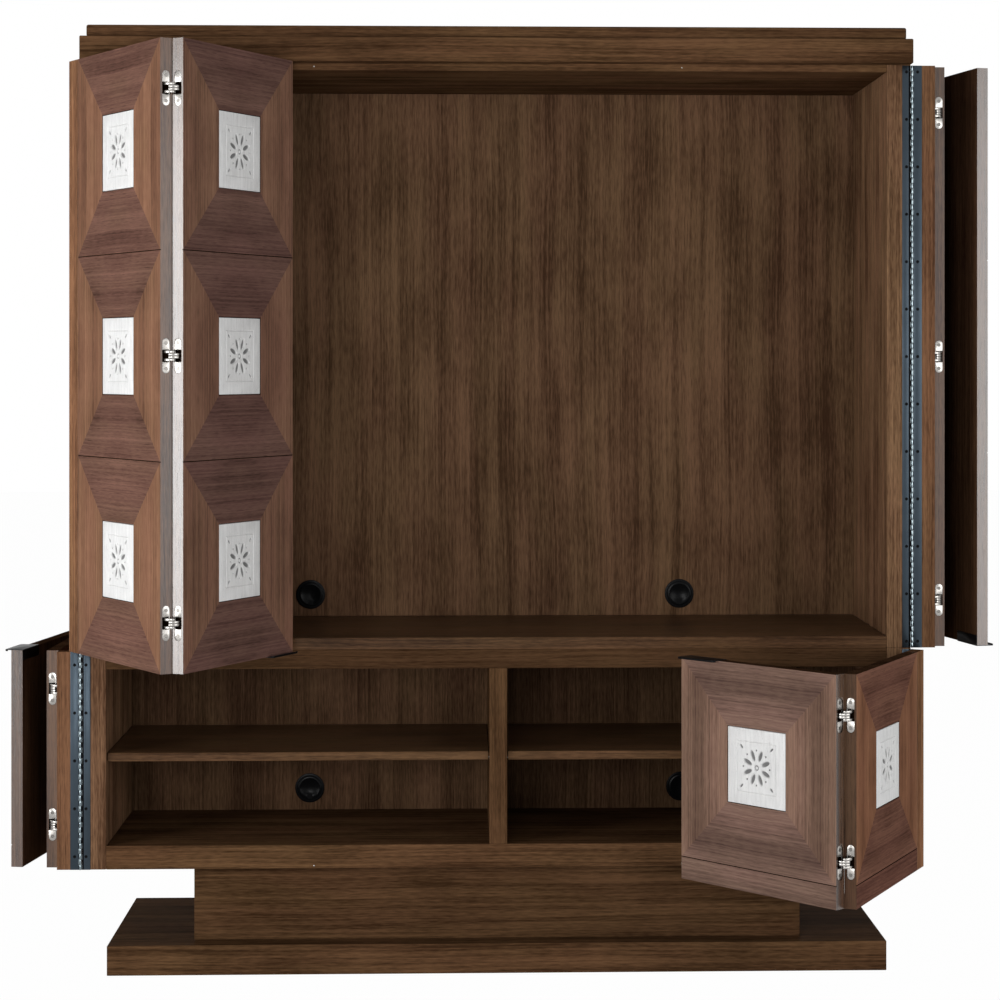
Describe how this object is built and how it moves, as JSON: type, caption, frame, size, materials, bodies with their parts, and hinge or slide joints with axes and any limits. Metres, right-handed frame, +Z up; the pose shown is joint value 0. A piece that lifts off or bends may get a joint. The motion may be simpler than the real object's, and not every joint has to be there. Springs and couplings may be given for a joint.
{
  "type": "display cabinet",
  "caption": "Tall two-tier walnut display cabinet on a pedestal and plinth, closed by tri-fold doors on piano hinges, with inlaid tiles, an open bay above and shelved compartments below.",
  "frame": {"origin": "centre of the plinth's underside, on the floor", "axes": "+X to the cabinet's right as seen from the front, +Y from front to back, +Z up"},
  "size_m": [2.1588, 0.9191, 2.042],
  "materials": {
    "case_veneer_across": "satin walnut veneer, grain along the board",
    "case_veneer_upright": "satin walnut veneer, upright grain",
    "back_veneer": "satin walnut veneer, upright grain, a little paler",
    "door_veneer": "satin walnut veneer, mitred round each tile",
    "carved_tile": "honed white stone with a carved rosette",
    "piano_hinge_steel": "blued steel, worn bright on the knuckles",
    "hinge_nickel": "satin nickel plate",
    "pull_black": "satin black",
    "grommet_plastic": "fine-textured black"
  },
  "bodies": {
    "carcass": {"plinth": "case_veneer_across", "pedestal_boards": "case_veneer_across", "lower_bottom": "case_veneer_across", "lower_top": "case_veneer_across", "lower_left_side": "case_veneer_upright", "lower_right_side": "case_veneer_upright", "lower_divider": "case_veneer_upright", "shelf_pins": "hinge_nickel", "shelves": "case_veneer_across", "upper_deck": "case_veneer_across", "upper_top": "case_veneer_across", "upper_left_side": "case_veneer_upright", "upper_right_side": "case_veneer_upright", "crown_moulding": "case_veneer_across", "crown_cap": "case_veneer_across", "lower_back": "back_veneer", "upper_back": "back_veneer", "cable_grommets": "grommet_plastic", "carcass_hinge_leaves": "piano_hinge_steel", "hinge_pins": "piano_hinge_steel"},
    "upper_left_stile": {"upper_left_stile": "door_veneer", "upper_left_stile_hinge_leaf": "piano_hinge_steel", "upper_left_stile_hinge_plates": "hinge_nickel"},
    "upper_left_first_leaf": {"upper_left_first_leaf": "door_veneer", "upper_left_first_leaf_tiles": "carved_tile", "upper_left_first_leaf_hinge_plates": "hinge_nickel"},
    "upper_left_second_leaf": {"upper_left_second_leaf": "door_veneer", "upper_left_second_leaf_tiles": "carved_tile", "upper_left_second_leaf_hinge_plates": "hinge_nickel", "upper_left_pull": "pull_black"},
    "upper_right_stile": {"upper_right_stile": "door_veneer", "upper_right_stile_hinge_leaf": "piano_hinge_steel", "upper_right_stile_hinge_plates": "hinge_nickel"},
    "upper_right_first_leaf": {"upper_right_first_leaf": "door_veneer", "upper_right_first_leaf_tiles": "carved_tile", "upper_right_first_leaf_hinge_plates": "hinge_nickel"},
    "upper_right_second_leaf": {"upper_right_second_leaf": "door_veneer", "upper_right_second_leaf_tiles": "carved_tile", "upper_right_second_leaf_hinge_plates": "hinge_nickel", "upper_right_pull": "pull_black"},
    "lower_left_stile": {"lower_left_stile": "door_veneer", "lower_left_stile_hinge_leaf": "piano_hinge_steel", "lower_left_stile_hinge_plates": "hinge_nickel"},
    "lower_left_first_leaf": {"lower_left_first_leaf": "door_veneer", "lower_left_first_leaf_tiles": "carved_tile", "lower_left_first_leaf_hinge_plates": "hinge_nickel"},
    "lower_left_second_leaf": {"lower_left_second_leaf": "door_veneer", "lower_left_second_leaf_tiles": "carved_tile", "lower_left_second_leaf_hinge_plates": "hinge_nickel", "lower_left_pull": "pull_black"},
    "lower_right_stile": {"lower_right_stile": "door_veneer", "lower_right_stile_hinge_leaf": "piano_hinge_steel", "lower_right_stile_hinge_plates": "hinge_nickel"},
    "lower_right_first_leaf": {"lower_right_first_leaf": "door_veneer", "lower_right_first_leaf_tiles": "carved_tile", "lower_right_first_leaf_hinge_plates": "hinge_nickel"},
    "lower_right_second_leaf": {"lower_right_second_leaf": "door_veneer", "lower_right_second_leaf_tiles": "carved_tile", "lower_right_second_leaf_hinge_plates": "hinge_nickel", "lower_right_pull": "pull_black"}
  },
  "joints": [
    {"name": "upper_left_swing", "type": "hinge", "parent": "carcass", "child": "upper_left_stile", "pos_m": [-0.9, -0.2165, 0], "axis": [0, 0, -1], "range_deg": [-58.9, 25.7]},
    {"name": "upper_left_back_fold", "type": "hinge", "parent": "upper_left_stile", "child": "upper_left_first_leaf", "pos_m": [-0.89609, -0.27429, 0], "axis": [0, 0, -1], "range_deg": [0, 92]},
    {"name": "upper_left_fold", "type": "hinge", "parent": "upper_left_first_leaf", "child": "upper_left_second_leaf", "pos_m": [-0.65542, -0.62428, 0], "axis": [0, 0, 1], "range_deg": [-121.9, 53]},
    {"name": "upper_right_swing", "type": "hinge", "parent": "carcass", "child": "upper_right_stile", "pos_m": [0.9, -0.2165, 0], "axis": [0, 0, 1], "range_deg": [-180, 0]},
    {"name": "upper_right_back_fold", "type": "hinge", "parent": "upper_right_stile", "child": "upper_right_first_leaf", "pos_m": [0.9515, -0.19, 0], "axis": [0, 0, 1], "range_deg": [-92, 0]},
    {"name": "upper_right_fold", "type": "hinge", "parent": "upper_right_first_leaf", "child": "upper_right_second_leaf", "pos_m": [0.96199, 0.23463, 0], "axis": [0, 0, -1], "range_deg": [-170, 0]},
    {"name": "lower_left_swing", "type": "hinge", "parent": "carcass", "child": "lower_left_stile", "pos_m": [-0.9, -0.2165, 0], "axis": [0, 0, -1], "range_deg": [-180, 0]},
    {"name": "lower_left_back_fold", "type": "hinge", "parent": "lower_left_stile", "child": "lower_left_first_leaf", "pos_m": [-0.9515, -0.19, 0], "axis": [0, 0, -1], "range_deg": [-92, 0]},
    {"name": "lower_left_fold", "type": "hinge", "parent": "lower_left_first_leaf", "child": "lower_left_second_leaf", "pos_m": [-0.96199, 0.23463, 0], "axis": [0, 0, 1], "range_deg": [-172.8, 0]},
    {"name": "lower_right_swing", "type": "hinge", "parent": "carcass", "child": "lower_right_stile", "pos_m": [0.9, -0.2165, 0], "axis": [0, 0, 1], "range_deg": [-63.1, 35.9]},
    {"name": "lower_right_back_fold", "type": "hinge", "parent": "lower_right_stile", "child": "lower_right_first_leaf", "pos_m": [0.90033, -0.27442, 0], "axis": [0, 0, 1], "range_deg": [0, 92]},
    {"name": "lower_right_fold", "type": "hinge", "parent": "lower_right_first_leaf", "child": "lower_right_second_leaf", "pos_m": [0.68594, -0.64109, 0], "axis": [0, 0, -1], "range_deg": [-111.5, 63.4]}
  ],
  "couplings": [
    {"joint": "upper_left_swing", "follows": "upper_left_fold", "ratio": 0.48318},
    {"joint": "upper_right_swing", "follows": "upper_right_fold", "ratio": 1.0588},
    {"joint": "lower_left_swing", "follows": "lower_left_fold", "ratio": 1.0417},
    {"joint": "lower_right_swing", "follows": "lower_right_fold", "ratio": 0.56592}
  ]
}
